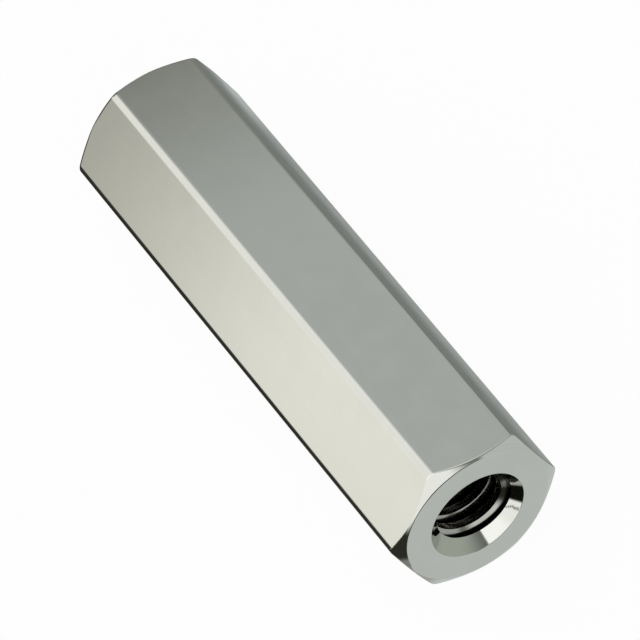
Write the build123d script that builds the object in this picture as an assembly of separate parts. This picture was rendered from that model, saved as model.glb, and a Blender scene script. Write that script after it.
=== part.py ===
from build123d import *

import os
from math import radians, tan

# Hexagonal bar
across_flats = 6.35
length = 23.8125
long_corner_radius = 0.35

# Turned ends: a cone trims the six corners down to a round end face
face_inset = 0.1
chamfer_angle = 30
face_edge_radius = 0.06

# Tapped hole, drawn at the crests of its thread
thread_crest_diameter = 2.87
countersink_diameter = 4.04
countersink_angle = 90
mouth_edge_radius = 0.04

# Sizes that follow
end = length / 2
face_radius = across_flats / 2 - face_inset
crest_radius = thread_crest_diameter / 2
mouth_radius = countersink_diameter / 2
countersink_depth = (mouth_radius - crest_radius) / tan(radians(countersink_angle / 2))

# The bar lies along X on one of its flats, which is at the height 0
axis_height = across_flats / 2


def bar():
    """The drawn bar: a hexagon with flats above and below and rounded corners, run out along X."""
    hexagon = RegularPolygon(across_flats / 2, 6, major_radius=False)
    section = fillet(hexagon.vertices(), long_corner_radius)
    return extrude(Plane.YZ * section, end, both=True)


def corners(section, radius):
    """The corners of a half-section that lie at one radius from the axis."""
    return [corner for corner in section.vertices() if abs(corner.Y - radius) < 1e-6]


def turned_work():
    """All that is cut on the lathe, swept from its half-section: the cones and faces of both ends,
    and the hole with a countersink at each mouth. Between the cones it is clear of the bar."""
    clear_radius = across_flats
    cone_length = (clear_radius - face_radius) * tan(radians(chamfer_angle))
    section = make_face(
        Polyline(
            (-end + countersink_depth, crest_radius),
            (-end, mouth_radius),
            (-end, face_radius),
            (-end + cone_length, clear_radius),
            (end - cone_length, clear_radius),
            (end, face_radius),
            (end, mouth_radius),
            (end - countersink_depth, crest_radius),
            close=True,
        )
    )
    section = fillet(corners(section, face_radius), face_edge_radius)
    section = fillet(corners(section, mouth_radius), mouth_edge_radius)
    return revolve(section, Axis.X)


standoff = Pos(0, 0, axis_height) * (bar() & turned_work())

os.makedirs("parts", exist_ok=True)
export_step(standoff, "parts/standoff.step")
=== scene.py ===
from math import atan2, cos, floor, pi, radians, sin, tan

import bmesh
import bpy
from mathutils import Matrix, Vector


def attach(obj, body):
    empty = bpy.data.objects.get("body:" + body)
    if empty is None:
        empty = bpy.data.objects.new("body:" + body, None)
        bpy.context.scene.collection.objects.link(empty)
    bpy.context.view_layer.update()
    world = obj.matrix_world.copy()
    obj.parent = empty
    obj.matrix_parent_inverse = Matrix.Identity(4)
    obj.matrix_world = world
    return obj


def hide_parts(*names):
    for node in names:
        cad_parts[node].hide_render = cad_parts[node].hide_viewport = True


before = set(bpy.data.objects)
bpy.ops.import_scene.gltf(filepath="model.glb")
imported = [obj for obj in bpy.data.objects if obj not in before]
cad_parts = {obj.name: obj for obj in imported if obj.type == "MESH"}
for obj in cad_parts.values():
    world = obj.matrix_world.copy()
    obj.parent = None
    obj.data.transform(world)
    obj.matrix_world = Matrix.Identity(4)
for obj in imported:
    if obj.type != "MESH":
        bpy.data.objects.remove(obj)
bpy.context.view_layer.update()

# Hexagonal bar, in metres; its corners are counted in degrees round the axis from the top
ACROSS_FLATS = 0.00635
LENGTH = 0.0238125
CORNERS = 6
CORNER_STEP = 60
FIRST_CORNER = -150
CORNER_TURN = radians(30)
APEX_RADIUS = 0.0003
SHOULDER_RADIUS = 0.0006

# Turned ends
FACE_INSET = 0.0001
CHAMFER_ANGLE = radians(30)
FACE_EDGE_RADIUS = 0.00012
HEX_EDGE_RADIUS = 0.00006
FAR_HEX_EDGE_RADIUS = 0.00018
COUNTERSINK_DIAMETER = 0.00404
COUNTERSINK_ANGLE = radians(90)
MOUTH_EDGE_RADIUS = 0.00004

# Tapped thread: 32 turns to the inch, right-handed
PITCH = 0.00079375
CREST_RADIUS = 0.001435
ROOT_RADIUS = 0.0017525
CREST_WIDTH = 0.000328
FLANK_ANGLE = radians(30)
CREST_DEPTH = 0.00097
CREST_DEPTH_AT = radians(154)

# Sizes that follow
END = LENGTH / 2
FACE_RADIUS = ACROSS_FLATS / 2 - FACE_INSET
MOUTH_RADIUS = COUNTERSINK_DIAMETER / 2
COUNTERSINK_SLOPE = tan(COUNTERSINK_ANGLE / 2)
AXIS_HEIGHT = ACROSS_FLATS / 2

# How finely the skin is drawn
CORNER_STEPS = 6
FLAT_STEPS = 12
EDGE_STEPS = 5
ROWS_A_TURN = 14
HOLD = 0.000015
WELD = 0.0000004
SMOOTH_UP_TO = radians(32)

# Tool marks and unevenness of the plating, as noise cells to the metre
CLOUDS = 900.0
GRAINS = 9000.0
DRAWN_ALONG = 120.0
DRAWN_ACROSS = 5200.0
TURNED_ACROSS = 14000.0
TAPPED_ACROSS = 15000.0

# Where the painted shade deep in the thread begins and where it is full, by depth from an end
PAINTED_SHADE_DEPTH = (0.0022, 0.003)

DEGREES = 180 / pi


class Wire:
    """One output of a node, on which Python's arithmetic adds Math nodes to its tree."""

    def __init__(self, tree, socket):
        self.tree = tree
        self.socket = socket

    def _math(self, operation, first, second):
        return add(self.tree, "ShaderNodeMath", {"operation": operation}, {0: first, 1: second})

    def __add__(self, other):
        return self._math("ADD", self, other)

    def __radd__(self, other):
        return self._math("ADD", other, self)

    def __sub__(self, other):
        return self._math("SUBTRACT", self, other)

    def __rsub__(self, other):
        return self._math("SUBTRACT", other, self)

    def __mul__(self, other):
        return self._math("MULTIPLY", self, other)

    def __rmul__(self, other):
        return self._math("MULTIPLY", other, self)

    def __truediv__(self, other):
        return self._math("DIVIDE", self, other)


def add(tree, kind, settings=None, sockets=None, output=0):
    """A new node of one kind: its settings first, then the values or wires of its sockets."""
    node = tree.nodes.new(kind)
    for name, value in (settings or {}).items():
        setattr(node, name, value)
    for name, value in (sockets or {}).items():
        if isinstance(value, Wire):
            tree.links.new(value.socket, node.inputs[name])
        else:
            node.inputs[name].default_value = value
    return Wire(tree, node.outputs[output]) if node.outputs else node


def one(wire, operation, second=0.0, third=0.0):
    """A Math node that isn't plain arithmetic."""
    sockets = {0: wire, 1: second, 2: third}
    return add(wire.tree, "ShaderNodeMath", {"operation": operation}, sockets)


def split(wire):
    """The x, y and z of a vector."""
    node = add(wire.tree, "ShaderNodeSeparateXYZ", sockets={0: wire}).socket.node
    return [Wire(wire.tree, output) for output in node.outputs]


def rise(wire, start, stop):
    """0 before start, 1 after stop, smooth between; the other way round where stop is lower."""
    if start > stop:
        return 1.0 - rise(wire, stop, start)
    sockets = {"Value": wire, "From Min": start, "From Max": stop}
    return add(wire.tree, "ShaderNodeMapRange", {"interpolation_type": "SMOOTHSTEP"}, sockets)


def window(wire, low, high, soft):
    """1 between low and high, with soft edges."""
    return rise(wire, low - soft, low + soft) * rise(wire, high + soft, high - soft)


def blend(factor, first, second):
    """Two colours, or wires that carry them, mixed by a factor."""
    sockets = {"Factor": factor, 6: first, 7: second}
    return add(factor.tree, "ShaderNodeMix", {"data_type": "RGBA"}, sockets, 2)


def grey(level, warm=0.0, green=0.0):
    """A colour by its level, leaning to warm and to green."""
    return (level * (1 + warm), level * (1 + green), level * (1 - warm), 1.0)


# Finishes

def material(name):
    """An empty node material and its tree."""
    made = bpy.data.materials.new(name)
    made.use_nodes = True
    made.node_tree.nodes.clear()
    return made, made.node_tree


def noise(tree, place, scale, detail):
    """Cloudy noise, about 0.5, at a place."""
    return add(tree, "ShaderNodeTexNoise", sockets={"Vector": place, "Scale": scale, "Detail": detail})


def plated(name, rough, lines, grain, tint, dirt, painted_shade_radii=None):
    """Bright plated metal. rough is the least and the most roughness. lines makes the tool marks from the
    place on the part, and grain is the height of those marks and of the plating's own unevenness. dirt
    is how much darker the dull patches are. The last argument gives the radii where painted shade in the
    thread's roots begins and where it is full; the thread is also painted darker with depth from each
    end."""
    made, tree = material(name)
    place = add(tree, "ShaderNodeTexCoord", output=3)
    x, y, z = split(place)
    z = z - AXIS_HEIGHT
    marks = lines(tree, x, y, z)
    cloud = noise(tree, place, CLOUDS, 3.0)
    uneven = cloud * 0.6 + marks * 0.25 + noise(tree, place, GRAINS, 2.0) * 0.15
    low, high = rough
    roughness = low + (high - low) * rise(uneven, 0.3, 0.7)
    clean = rise(cloud * 0.7 + marks * 0.3, 0.25, 0.75)
    dull = tuple(channel * (1 - dirt) for channel in tint[:3]) + (1.0,)
    base = blend(clean, dull, tint)
    # Painted shade: the thread darkens towards its roots and deeper into the hole from each end
    if painted_shade_radii:
        root_shade = rise(one(y * y + z * z, "SQRT"), painted_shade_radii[0], painted_shade_radii[1])
        deep_shade = rise(one(x, "ABSOLUTE"), END - PAINTED_SHADE_DEPTH[0], END - PAINTED_SHADE_DEPTH[1])
        base = blend(root_shade, blend(deep_shade, base, grey(0.16, 0.05)), grey(0.05, 0.05))
    sockets = {"Strength": 1.0, "Distance": grain[0], "Height": marks}
    marked = add(tree, "ShaderNodeBump", sockets=sockets)
    sockets = {"Strength": 1.0, "Distance": grain[1], "Height": cloud, "Normal": marked}
    bumped = add(tree, "ShaderNodeBump", sockets=sockets)
    sockets = {"Base Color": base, "Metallic": 1.0, "Roughness": roughness, "Normal": bumped}
    surface = add(tree, "ShaderNodeBsdfPrincipled", sockets=sockets)
    add(tree, "ShaderNodeOutputMaterial", sockets={"Surface": surface})
    return made


def drawing_lines(tree, x, y, z):
    """Fine lines along the bar, left by the drawing die: long in x and narrow across it."""
    sockets = {0: x * DRAWN_ALONG, 1: y * DRAWN_ACROSS, 2: z * DRAWN_ACROSS}
    drawn = add(tree, "ShaderNodeCombineXYZ", sockets=sockets)
    return noise(tree, drawn, 1.0, 4.0)


def turning_lines(tree, x, y, z):
    """The lathe tool's rings round the axis: faint on the faces, deep on the cones."""
    radius = one(y * y + z * z, "SQRT")
    turn = one(y, "ARCTAN2", z)
    wander = 0.9
    sockets = {0: radius * TURNED_ACROSS, 1: one(turn, "SINE") * wander, 2: one(turn, "COSINE") * wander}
    rings = add(tree, "ShaderNodeCombineXYZ", sockets=sockets)
    cut = noise(tree, rings, 1.0, 3.0)
    faced = window(radius, MOUTH_RADIUS + 0.00006, FACE_RADIUS - 0.00006, 0.00003)
    coned = rise(radius, FACE_RADIUS, FACE_RADIUS + 0.0001)
    return (cut - 0.5) * (1.0 - faced * 0.8 + coned * 3.0) + 0.5


def tapping_lines(tree, x, y, z):
    """Scores along the thread, left by the tap's teeth, which follow its helix."""
    turn = one(y, "ARCTAN2", z)
    radius = one(y * y + z * z, "SQRT")
    unwound = x + turn * (PITCH / (2 * pi))
    wander = 2.0
    sockets = {0: unwound * TAPPED_ACROSS, 1: radius * TAPPED_ACROSS, 2: one(turn, "SINE") * wander}
    scores = add(tree, "ShaderNodeCombineXYZ", sockets=sockets)
    return noise(tree, scores, 1.0, 3.0)


NICKEL = (0.70, 0.69, 0.64, 1.0)
# The thread's nickel is a darker copy of the outer nickel: painted shade of the hole
SHADED_THREAD_NICKEL = (0.52, 0.51, 0.465, 1.0)
drawn_finish = plated(
    "plated_drawn_flats",
    rough=(0.07, 0.12),
    lines=drawing_lines,
    grain=(0.0000003, 0.0000006),
    tint=NICKEL,
    dirt=0.04,
)
turned_finish = plated(
    "plated_turned_ends",
    rough=(0.03, 0.08),
    lines=turning_lines,
    grain=(0.0000012, 0.0000002),
    tint=NICKEL,
    dirt=0.04,
)
tapped_finish = plated(
    "plated_tapped_thread",
    rough=(0.10, 0.2),
    lines=tapping_lines,
    grain=(0.0000004, 0.0000005),
    tint=SHADED_THREAD_NICKEL,
    dirt=0.25,
    # painted shade in the thread's roots, by radius
    painted_shade_radii=(0.00157, 0.00165),
)


# The shell outside the hole

def half_corner():
    """Half a long corner of the drawn bar, as (across, below) places from its apex. It bends tightest at
    the apex and eases off towards the flat."""
    across = 0.0
    below = 0.0
    places = [(across, below)]
    for step in range(CORNER_STEPS):
        share = (step + 0.5) / CORNER_STEPS
        bend = APEX_RADIUS + (SHOULDER_RADIUS - APEX_RADIUS) * share * share
        reach = bend * CORNER_TURN / CORNER_STEPS
        across += reach * cos(CORNER_TURN * share)
        below += reach * sin(CORNER_TURN * share)
        places.append((across, below))
    return places


def bar_outline():
    """Places round the drawn bar's section, as (y, z) from its axis: each long corner, then its flat."""
    half = half_corner()
    across, below = half[-1]
    apex = ACROSS_FLATS / 2 / cos(CORNER_TURN) - (across * tan(CORNER_TURN) - below)
    both = [(-across, below) for across, below in half[:0:-1]] + half
    corners = []
    for corner in range(CORNERS):
        middle = radians(FIRST_CORNER + CORNER_STEP * corner)
        outward = Vector((sin(middle), cos(middle)))
        onward = Vector((cos(middle), -sin(middle)))
        corners.append([outward * (apex - below) + onward * across for across, below in both])
    outline = []
    for corner in range(CORNERS):
        start = corners[corner][-1]
        stop = corners[(corner + 1) % CORNERS][0]
        along = (stop - start).normalized() * HOLD
        first = start + along
        last = stop - along
        outline += corners[corner]
        outline += [first.lerp(last, step / (FLAT_STEPS - 2)) for step in range(FLAT_STEPS - 1)]
    return outline


def rounded(path, radii):
    """A line of straight runs, as (x, r) places, with an arc of the given radius at each corner and a
    place held close to each arc, so that its shading ends there."""
    line = []
    for before, corner, after, radius in zip(path, path[1:], path[2:], radii):
        corner = Vector(corner)
        into = (corner - Vector(before)).normalized()
        out = (Vector(after) - corner).normalized()
        half = into.angle(out) / 2
        reach = radius * tan(half)
        start = corner - into * reach
        middle = corner + (out - into).normalized() * radius / cos(half)
        arm = start - middle
        way = 1 if into.x * out.y - into.y * out.x > 0 else -1
        line.append(start - into * HOLD)
        for step in range(EDGE_STEPS + 1):
            turn = way * 2 * half * step / EDGE_STEPS
            spun = Vector((arm.x * cos(turn) - arm.y * sin(turn), arm.x * sin(turn) + arm.y * cos(turn)))
            line.append(middle + spun)
        line.append(corner + out * (reach + HOLD))
    return line


def end_line(bar_radius, hex_edge):
    """From inside the countersink over the end face and the cone to the bar's own surface. The edge
    between cone and bar is rounded less where the cone is too short for it."""
    inner = MOUTH_RADIUS - 3 * MOUTH_EDGE_RADIUS
    cone_length = (bar_radius - FACE_RADIUS) / cos(CHAMFER_ANGLE)
    room = cone_length - FACE_EDGE_RADIUS * tan(CHAMFER_ANGLE / 2) - 2 * HOLD
    hex_edge = min(hex_edge, room / tan((radians(90) - CHAMFER_ANGLE) / 2))
    path = [
        (END - (MOUTH_RADIUS - inner) / COUNTERSINK_SLOPE, inner),
        (END, MOUTH_RADIUS),
        (END, FACE_RADIUS),
        (END - (bar_radius - FACE_RADIUS) * tan(CHAMFER_ANGLE), bar_radius),
        (0.0, bar_radius),
    ]
    return rounded(path, [MOUTH_EDGE_RADIUS, FACE_EDGE_RADIUS, hex_edge])


OUTLINE = bar_outline()
MOUTH_START = end_line(ACROSS_FLATS / 2, HEX_EDGE_RADIUS)[0]


def ring_place(outline_place, x, radius):
    """A place at one radius, in line with a place on the bar's outline."""
    away = outline_place.normalized() * radius
    return (x, away.x, away.y)


def shell_mesh(work):
    """Both ends and the flats between them, in one skin that is open only at the hole's mouths."""
    rings = []
    for side, hex_edge in ((1, HEX_EDGE_RADIUS), (-1, FAR_HEX_EDGE_RADIUS)):
        lines = [end_line(place.length, hex_edge) for place in OUTLINE]
        half = []
        for station in range(len(lines[0])):
            ring = []
            for place, line in zip(OUTLINE, lines):
                x, radius = line[station]
                ring.append(work.verts.new(ring_place(place, side * x, radius)))
            half.append(ring)
        rings += half if side == 1 else half[::-1]
    around = len(OUTLINE)
    for near, far in zip(rings, rings[1:]):
        for column in range(around):
            following = (column + 1) % around
            work.faces.new((near[column], near[following], far[following], far[column]))


# The tapped hole

def bore_tree():
    """A skin wound down the thread's helix. Its rows follow the thread, its columns stand in line with
    the places of the mouth ring, and where the countersink is wider than the thread it takes over."""
    tree = bpy.data.node_groups.new("tapped_bore", "GeometryNodeTree")
    face = tree.interface
    face.new_socket("Mouth ring", in_out="INPUT", socket_type="NodeSocketGeometry")
    sizes = ("Pitch", "Crest radius", "Root radius", "Crest width", "Flank slope", "Half length")
    sizes += ("Mouth radius", "Mouth place", "First crest", "Weld")
    for name in sizes:
        face.new_socket(name, in_out="INPUT", socket_type="NodeSocketFloat")
    for name in ("Rows a turn", "Turns"):
        face.new_socket(name, in_out="INPUT", socket_type="NodeSocketInt")
    face.new_socket("Finish", in_out="INPUT", socket_type="NodeSocketMaterial")
    face.new_socket("Bore", in_out="OUTPUT", socket_type="NodeSocketGeometry")
    entry = tree.nodes.new("NodeGroupInput")

    def given(name):
        return Wire(tree, entry.outputs[name])

    columns = add(tree, "GeometryNodeAttributeDomainSize", sockets={"Geometry": given("Mouth ring")})
    rows = given("Rows a turn") * given("Turns") + 1.0
    sockets = {"Vertices X": columns + 1.0, "Vertices Y": rows}
    skin = add(tree, "GeometryNodeMeshGrid", sockets=sockets)
    index = add(tree, "GeometryNodeInputIndex")
    column = one((index + 0.5) / rows, "FLOOR")
    row = one(index - column * rows, "ROUND")
    last = one(column, "COMPARE", columns, 0.5)
    around = column - last * columns
    settings = {"data_type": "FLOAT_VECTOR", "domain": "POINT"}
    position = add(tree, "GeometryNodeInputPosition")
    sockets = {"Geometry": given("Mouth ring"), "Value": position}
    start = add(tree, "GeometryNodeSampleIndex", settings, sockets)
    sockets["Index"] = around
    place = add(tree, "GeometryNodeSampleIndex", settings, sockets)

    def angle(wire):
        y, z = split(wire)[1:]
        return one(y, "ARCTAN2", z)

    turned = (angle(place) - angle(start)) / (2 * pi)
    slack = 0.0001
    turned = turned - one(turned + slack, "FLOOR") + last

    def thread(number):
        """How far along the hole one row lies, and the thread's radius there."""
        share = number / given("Rows a turn")
        away = one(share - one(share, "ROUND"), "ABSOLUTE") * given("Pitch")
        flank = given("Crest radius") + (away - given("Crest width") / 2.0) / given("Flank slope")
        radius = one(one(flank, "MAXIMUM", given("Crest radius")), "MINIMUM", given("Root radius"))
        depth = given("First crest") + (share + turned) * given("Pitch")
        return given("Half length") - depth, radius

    def cone(x):
        """The countersink's radius at a place along the hole."""
        return given("Mouth radius") - (given("Half length") - one(x, "ABSOLUTE")) * COUNTERSINK_SLOPE

    x, radius = thread(row)
    clear = cone(x) - radius
    cut = one(clear, "GREATER_THAN", 0.0)
    shift = 0.0
    untaken = 1.0
    for step in (1.0, -1.0):
        beside, beside_radius = thread(row + step)
        beside_clear = cone(beside) - beside_radius
        crosses = cut * one(beside_clear, "LESS_THAN", 0.0) * untaken
        shift = crosses * (clear / (clear - beside_clear)) * (beside - x) + shift
        untaken = 1.0 - crosses
    x = x + shift
    x = one(one(x, "MINIMUM", given("Mouth place")), "MAXIMUM", 0.0 - given("Mouth place"))
    radius = one(radius, "MAXIMUM", cone(x))
    outward = add(tree, "ShaderNodeVectorMath", {"operation": "MULTIPLY"}, {0: place, 1: (0.0, 1.0, 1.0)})
    outward = add(tree, "ShaderNodeVectorMath", {"operation": "NORMALIZE"}, {0: outward})
    outward = add(tree, "ShaderNodeVectorMath", {"operation": "SCALE"}, {0: outward, "Scale": radius})
    along = add(tree, "ShaderNodeCombineXYZ", sockets={0: x})
    where = add(tree, "ShaderNodeVectorMath", {"operation": "ADD"}, {0: outward, 1: along})
    skin = add(tree, "GeometryNodeSetPosition", sockets={"Geometry": skin, "Position": where})
    skin = add(tree, "GeometryNodeMergeByDistance", sockets={"Geometry": skin, "Distance": given("Weld")})
    skin = add(tree, "GeometryNodeRealizeInstances", sockets={"Geometry": skin})
    skin = add(tree, "GeometryNodeSetMaterial", sockets={"Geometry": skin, "Material": given("Finish")})
    add(tree, "NodeGroupOutput", sockets={"Bore": skin})
    return tree


def bore_mesh():
    """The tapped hole with both countersinks, as a plain mesh about the axis. The thread starts before
    the near face and ends past the far one, with turns to spare, and the mouths cut it off."""
    ring = bpy.data.meshes.new("mouth_ring")
    places = [ring_place(place, MOUTH_START.x, MOUTH_START.y) for place in OUTLINE]
    ring.from_pydata(places, [], [])
    holder = bpy.data.objects.new("bore_winder", ring)
    bpy.context.scene.collection.objects.link(holder)
    first_angle = atan2(OUTLINE[0].x, OUTLINE[0].y)
    crest = CREST_DEPTH + PITCH * (first_angle - CREST_DEPTH_AT) / (2 * pi)
    spare_turns = 2
    turns_before = floor(crest / PITCH) + spare_turns
    values = {
        "Pitch": PITCH,
        "Crest radius": CREST_RADIUS,
        "Root radius": ROOT_RADIUS,
        "Crest width": CREST_WIDTH,
        "Flank slope": tan(FLANK_ANGLE),
        "Half length": END,
        "Mouth radius": MOUTH_RADIUS,
        "Mouth place": MOUTH_START.x,
        "First crest": crest - PITCH * turns_before,
        "Weld": WELD,
        "Rows a turn": ROWS_A_TURN,
        "Turns": floor(LENGTH / PITCH) + 2 * spare_turns,
        "Finish": tapped_finish,
    }
    tree = bore_tree()
    winder = holder.modifiers.new("tapped_bore", "NODES")
    winder.node_group = tree
    for socket in tree.interface.items_tree:
        if socket.name in values and socket.in_out == "INPUT":
            winder[socket.identifier] = values[socket.name]
    evaluated = holder.evaluated_get(bpy.context.evaluated_depsgraph_get())
    made = bpy.data.meshes.new_from_object(evaluated)
    holder.modifiers.remove(winder)
    bpy.data.objects.remove(holder)
    return made


# The whole part

DRAWN, TURNED, TAPPED = 0, 1, 2

# How far a face may lean from the bar's length, or from the countersink, and still be part of it
DRAWN_LEAN = 0.1
COUNTERSINK_LEAN = radians(6)


def finish_of(face):
    """Which finish a face has: the hole's thread, what the lathe cut, or the drawn bar."""
    centre = face.calc_center_median()
    away = Vector((0.0, centre.y, centre.z))
    if away.length > FACE_RADIUS:
        return TURNED if abs(face.normal.x) > DRAWN_LEAN else DRAWN
    depth = END - abs(centre.x)
    if depth < 3 * MOUTH_EDGE_RADIUS:
        return TURNED
    lean = COUNTERSINK_ANGLE / 2
    towards_mouth = abs(face.normal.x) * sin(lean)
    towards_axis = -face.normal.dot(away.normalized()) * cos(lean)
    sunk = towards_mouth + towards_axis > cos(COUNTERSINK_LEAN)
    return TURNED if sunk and depth < MOUTH_RADIUS - CREST_RADIUS else TAPPED


def standoff():
    """The shell and the hole welded into one closed skin, lying on its lower flat."""
    work = bmesh.new()
    work.from_mesh(bore_mesh())
    shell_mesh(work)
    bmesh.ops.remove_doubles(work, verts=work.verts, dist=WELD)
    bmesh.ops.dissolve_degenerate(work, edges=work.edges, dist=WELD / 4)
    bmesh.ops.recalc_face_normals(work, faces=work.faces)
    for face in work.faces:
        face.smooth = True
        face.material_index = finish_of(face)
    bmesh.ops.translate(work, verts=work.verts, vec=(0.0, 0.0, AXIS_HEIGHT))
    made = bpy.data.meshes.new("hex_standoff")
    work.to_mesh(made)
    work.free()
    for finish in (drawn_finish, turned_finish, tapped_finish):
        made.materials.append(finish)
    made.set_sharp_from_angle(angle=SMOOTH_UP_TO)
    piece = bpy.data.objects.new("hex_standoff", made)
    bpy.context.scene.collection.objects.link(piece)
    return piece


body = standoff()
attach(body, "root")
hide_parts("standoff")


# Floor and reflected cards, in millimetres

def card(name, corners, finish):
    """A flat panel given by its four corners."""
    mesh = bpy.data.meshes.new(name)
    mesh.from_pydata([[value / 1000 for value in corner] for corner in corners], [], [(0, 1, 2, 3)])
    mesh.materials.append(finish)
    made = bpy.data.objects.new(name, mesh)
    bpy.context.scene.collection.objects.link(made)
    return made


def level_corners(x, y, z):
    """The corners of a level panel between two places along x and two along y."""
    return [(x[0], y[0], z), (x[1], y[0], z), (x[1], y[1], z), (x[0], y[1], z)]


def upright_corners(x, y, z):
    """The corners of an upright panel between two places along x and two heights."""
    return [(x[0], y, z[0]), (x[1], y, z[0]), (x[1], y, z[1]), (x[0], y, z[1])]


def only_reflected(made):
    """Makes a panel show only in the metal."""
    made.visible_camera = False
    made.visible_diffuse = False
    made.visible_shadow = False
    made.visible_transmission = False


def floor_finish():
    """White paper, lit from all round, with only the faintest shade under the part."""
    made, tree = material("pale_floor")
    paper = add(tree, "ShaderNodeBsdfDiffuse", sockets={"Color": grey(0.9)})
    lit = add(tree, "ShaderNodeEmission", sockets={"Color": grey(1.0), "Strength": 1.0})
    surface = add(tree, "ShaderNodeMixShader", sockets={0: 0.96, 1: paper, 2: lit})
    add(tree, "ShaderNodeOutputMaterial", sockets={"Surface": surface})
    return made


def card_finish(name, light, fades):
    """A lit card. Each fade is a way along it, where it starts and stops, and the light it ends in."""
    made, tree = material(name)
    place = add(tree, "ShaderNodeTexCoord", output=3)
    for way, start, stop, ending in fades:
        along = add(tree, "ShaderNodeVectorMath", {"operation": "DOT_PRODUCT"}, {0: place, 1: way}, 1)
        light = blend(rise(along, start / 1000, stop / 1000), light, ending)
    lit = add(tree, "ShaderNodeEmission", sockets={"Color": light, "Strength": 1.0})
    add(tree, "ShaderNodeOutputMaterial", sockets={"Surface": lit})
    return made


ground = card("floor", level_corners((-2000, 2000), (-2000, 2000), 0), floor_finish())
ground.visible_glossy = False

# The side card lights the near flat, and falls off behind the far end and under the bar
side_fades = [
    ((1, 0, 0), -14, -39, grey(0.46, 0.036, 0.045)),
    ((0, 0, 1), 3, 12, grey(1.1, -0.03, 0.0)),
    ((0, 0, 1), -0.3, -5, grey(0.03, 0.1, 0.12)),
]
side_finish = card_finish("side_card", grey(1.03, 0.018, 0.03), side_fades)
only_reflected(card("side_card", upright_corners((-110, 25), -30, (-9, 14)), side_finish))

# The overhead card lights the top flat, with a bright edge for the corner line beside it
over_fades = [
    ((1, 0, 0), -45, -62, grey(0.27, 0.0, 0.06)),
    ((-0.6, 1, 0), 39.6, 11.6, grey(1.1, -0.03, 0.0)),
]
over_finish = card_finish("overhead_card", grey(0.523, -0.037, 0.042), over_fades)
only_reflected(card("overhead_card", level_corners((-110, 20), (-14, 70), 60), over_finish))

# The strip on the floor is what the far side flat mirrors: painted shade of the floor beside the part,
# darkest along its outer edge
shaded_strip_fades = [
    ((1, 0, 0), -11.5, -15, grey(0.54, -0.02, 0.05)),
    ((0, 1, 0), 6.24, 6.28, grey(0.175, -0.02, 0.06)),
]
shaded_strip_finish = card_finish("shaded_floor_strip", grey(0.375, -0.02, 0.05), shaded_strip_fades)
only_reflected(card("shaded_floor_strip", level_corners((-40, 10), (4.5, 9), 0.02), shaded_strip_finish))


# The room that the metal mirrors, by azimuth and height in degrees

DARK_GAP = grey(0.04)
NEAR_GREY = grey(0.635, -0.035, 0.03)


def under_horizon(azimuth, height, before_face):
    """Dark on the camera's side of the bar and grey on the far side, with a grey patch straight down."""
    pit = blend(window(azimuth, -95, -50, 5), grey(0.03, 0.1, 0.12), grey(0.005, 0.1, 0.2))
    foot = blend(rise(azimuth, -50, -40), grey(0.45, 0.0, 0.04), grey(0.27, 0.0, 0.04))
    dark_ground = blend(rise(height - azimuth * 0.17, -52, -58.5), pit, foot)
    under_side = rise(azimuth, -80, -88) * rise(height, -50, -57)
    dark_ground = blend(under_side, dark_ground, grey(0.35, 0.0, 0.04))
    grey_ground = blend(rise(azimuth, 116, 138), grey(0.435, 0.0, 0.08), grey(0.325, -0.02, 0.05))
    grey_ground = blend(before_face, grey_ground, NEAR_GREY)
    turned_in = azimuth + rise(height, -60, -72) * 22.0
    far_side = rise(turned_in, -9, 1) * rise(azimuth, 151, 141)
    straight_down = rise(height, -76, -83)
    return blend(straight_down, blend(far_side, dark_ground, grey_ground), grey(0.46, 0.0, 0.03))


def over_horizon(azimuth, height, before_face, bright_wall):
    """A bright wall past the near end, a narrow stand in it, then grey walls with a dark rail."""
    far_grey = blend(rise(azimuth, 70, 125), grey(0.43, 0.0, 0.09), grey(0.25, -0.03, 0.08))
    right_grey = blend(rise(azimuth + height * 0.3, 12, 60), grey(0.17, 0.0, 0.07), far_grey)
    low_front = window(azimuth, 23, 100, 3) * rise(height, 18, 10) * before_face
    right_grey = blend(low_front, right_grey, NEAR_GREY)
    upper = blend(window(azimuth, 2, 150, 3), grey(1.05, 0.01, 0.02), right_grey)
    wall_light = blend(rise(height, 2, 22), grey(1.14, -0.015, 0.015), grey(1.32, -0.01, 0.015))
    upper = blend(bright_wall, upper, wall_light)
    stand = window(azimuth, -49.9, -48.7, 0.4) * rise(height, -2, -8)
    upper = blend(stand, upper, grey(0.1, 0.0, 0.06))
    rail = window(azimuth, 24, 84, 6) * window(height, 38, 56, 3)
    upper = blend(rail, upper, DARK_GAP)
    ceiling = rise(height, 62, 78)
    return blend(ceiling, upper, grey(0.85))


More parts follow.
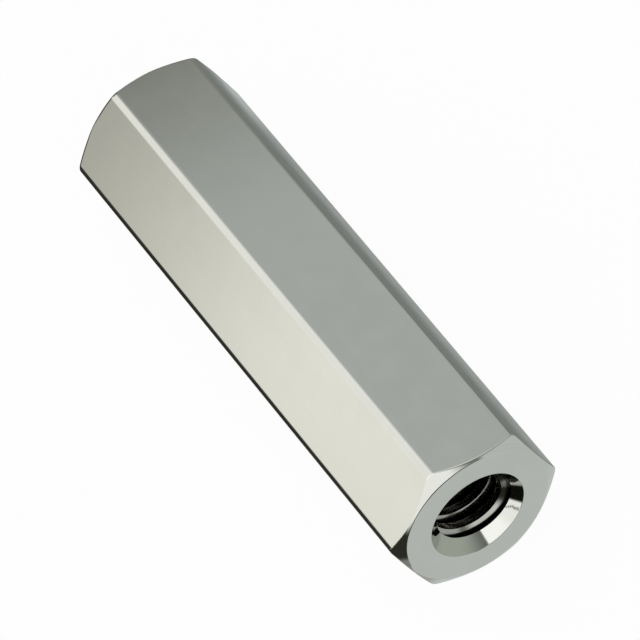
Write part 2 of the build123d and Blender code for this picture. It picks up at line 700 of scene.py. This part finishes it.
def surroundings():
    """The mirrored room, with its floor's edge at its own height before each wall. The camera itself
    sees a plain pale wall."""
    world = bpy.data.worlds.new("studio")
    bpy.context.scene.world = world
    world.use_nodes = True
    tree = world.node_tree
    tree.nodes.clear()
    direction = add(tree, "ShaderNodeTexCoord")
    x, y, z = split(direction)
    azimuth = one(y, "ARCTAN2", x) * DEGREES
    height = one(z, "ARCSINE") * DEGREES

    # What the near face mirrors, and the bright wall, whose edge leans and softens downwards
    before_face = 1.0 - (1.0 - rise(height + azimuth * 1.15, 66, 57)) * rise(height, -50, -46)
    spread = one(13.0 - height * 0.36, "MAXIMUM", 1.0)
    wall_edge = (azimuth + height * 0.265 - 10.3) / spread
    bright_wall = rise(azimuth, -118, -112) * rise(wall_edge, 1, -1)

    # The floor's edge lies 34 degrees down, 28 before the bright wall and 4 before the back
    back_left = 1.0 - window(azimuth, -118, 148, 4)
    skirting = bright_wall * 6.0 + back_left * 30.0 - 34.0
    fading = window(azimuth, -40, 10, 6) * 5.0 + 3.0
    lower = under_horizon(azimuth, height, before_face)
    upper = over_horizon(azimuth, height, before_face, bright_wall)
    room = blend(rise((height - skirting) / fading, -1, 1), lower, upper)

    # A dark gap beside the near face, and a grey edge before the dark back
    gap = window(azimuth, -8, 22, 2) * window(height, -43, -9, 2)
    room = blend(gap, room, DARK_GAP)
    level_band = window(height, -50, 29, 5)
    room = blend(window(azimuth, 150, 168, 4) * level_band, room, grey(0.26, 0.0, 0.04))
    behind = (1.0 - window(azimuth, -150, 168, 4)) * level_band
    room = blend(behind, room, grey(0.03, 0.05))

    seen = add(tree, "ShaderNodeLightPath")
    pale_wall = (0.96, 0.965, 0.955, 1.0)
    shown = blend(seen, room, pale_wall)
    back = add(tree, "ShaderNodeBackground", sockets={"Color": shown, "Strength": 1.0})
    add(tree, "ShaderNodeOutputWorld", sockets={"Surface": back})


surroundings()


# Camera, fitted to the photograph

def camera():
    """The photograph's own viewpoint: its place in millimetres, and its right, down and forward ways."""
    right = Vector((0.51764882, 0.85437704, -0.04560229))
    down = Vector((0.62293038, -0.41288478, -0.66444255))
    forward = Vector((-0.58651295, 0.31554085, -0.74594673))
    focal_pixels = 6284.53
    frame_pixels = 640
    place = Vector((140.852, -75.426, 181.826)) / 1000
    turn = Matrix((right, -down, -forward)).transposed().to_4x4()
    data = bpy.data.cameras.new("photo_camera")
    data.sensor_width = 36.0
    data.sensor_height = 36.0
    data.sensor_fit = "HORIZONTAL"
    data.lens = data.sensor_width * focal_pixels / frame_pixels
    data.clip_start = 0.005
    data.clip_end = 20.0
    made = bpy.data.objects.new("photo_camera", data)
    made.matrix_world = Matrix.Translation(place) @ turn
    bpy.context.scene.collection.objects.link(made)
    bpy.context.scene.camera = made


camera()
bpy.context.scene.view_settings.view_transform = "Standard"
bpy.context.scene.view_settings.look = "None"
